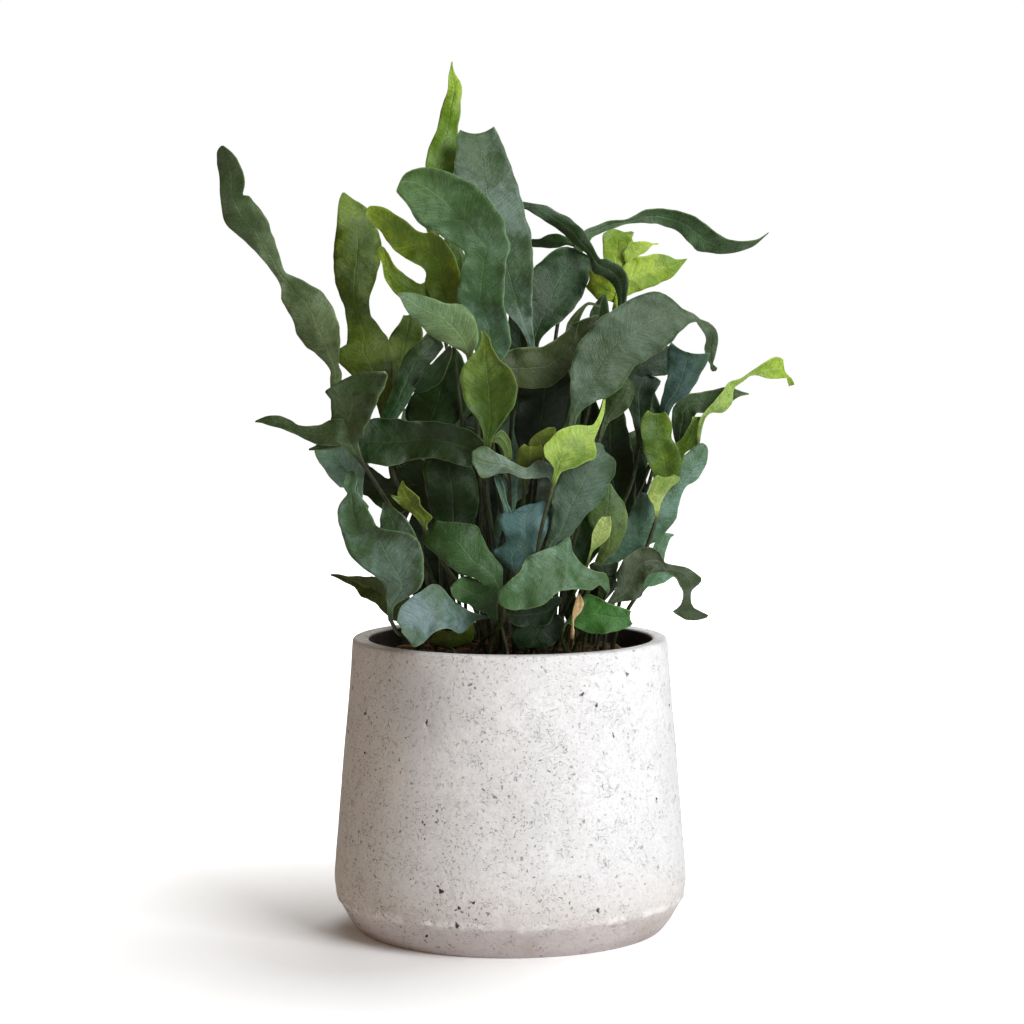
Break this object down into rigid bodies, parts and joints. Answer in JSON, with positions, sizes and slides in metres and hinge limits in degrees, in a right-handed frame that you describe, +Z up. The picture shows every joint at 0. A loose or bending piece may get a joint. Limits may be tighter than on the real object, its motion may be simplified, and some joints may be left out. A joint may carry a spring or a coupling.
{
  "type": "potted fern",
  "caption": "Blue star fern with long wavy lobed fronds on thin stems, growing in a round flared concrete pot that is filled with potting mix.",
  "frame": {"origin": "centre of the pot's flat underside, on the pot's axis", "axes": "+Z up along the pot's axis, -Y towards the side of the plant that faces the viewer, +X to the viewer's right"},
  "size_m": [0.2824, 0.2001, 0.4319],
  "materials": {
    "concrete": "cast concrete with a thin whitewash, matt, with small open pits",
    "potting_mix": "loose moist peat and fibre, matt",
    "leaf_bluish": "smooth leathery leaf with a waxy bloom, satin",
    "leaf_dry": "dry and papery",
    "leaf_fresh": "smooth leathery leaf with a waxy bloom, satin",
    "leaf_glaucous": "smooth leathery leaf with a waxy bloom, satin",
    "leaf_green": "smooth leathery leaf with a waxy bloom, satin",
    "leaf_olive": "smooth leathery leaf with a waxy bloom, satin",
    "leaf_pale": "smooth leathery leaf with a waxy bloom, satin"
  },
  "bodies": {
    "root": {"pot": "concrete", "soil": "potting_mix", "frond_long_left": "leaf_glaucous", "frond_olive_left": "leaf_olive", "frond_hand": "leaf_fresh", "frond_bright_top": "leaf_fresh", "frond_tall_front": "leaf_bluish", "frond_tall_back": "leaf_bluish", "frond_arc": "leaf_glaucous", "frond_long_right": "leaf_glaucous", "frond_bright_lobed": "leaf_fresh", "frond_oval_dark": "leaf_green", "frond_big_right": "leaf_bluish", "frond_olive_right": "leaf_olive", "frond_pointed_front": "leaf_olive", "frond_curled": "leaf_bluish", "frond_star": "leaf_glaucous", "frond_pale_left": "leaf_bluish", "frond_dark_bar": "leaf_green", "frond_folded_left": "leaf_green", "frond_dark_middle": "leaf_green", "frond_dark_inner": "leaf_green", "frond_blue_upright": "leaf_bluish", "frond_dark_right": "leaf_green", "frond_pale_twist": "leaf_pale", "frond_right_tongue": "leaf_green", "frond_fork": "leaf_olive", "frond_pale_cup": "leaf_pale", "frond_broad_right": "leaf_bluish", "frond_low_right_back": "leaf_bluish", "frond_hook": "leaf_glaucous", "frond_olive_blade": "leaf_olive", "frond_pale_small": "leaf_pale", "frond_blue_centre": "leaf_bluish", "frond_bright_centre": "leaf_fresh", "frond_olive_behind": "leaf_olive", "frond_yellow_small": "leaf_fresh", "frond_grey_centre": "leaf_bluish", "frond_blue_lobed": "leaf_bluish", "frond_front_centre": "leaf_glaucous", "frond_low_right": "leaf_green", "frond_dry": "leaf_dry", "frond_low_dark": "leaf_green", "frond_tufts_right": "leaf_olive", "frond_front_left": "leaf_bluish", "frond_sword_left": "leaf_olive", "frond_broad_left": "leaf_bluish", "frond_dark_left": "leaf_green", "frond_twin_tip": "leaf_fresh", "frond_green_oval": "leaf_green", "frond_diagonal": "leaf_glaucous", "frond_low_green": "leaf_green", "frond_low_olive": "leaf_olive", "frond_back_1": "leaf_glaucous", "frond_back_2": "leaf_green", "frond_back_3": "leaf_bluish", "frond_back_4": "leaf_olive", "frond_back_5": "leaf_glaucous", "frond_back_6": "leaf_green", "frond_back_7": "leaf_bluish"}
  },
  "joints": []
}
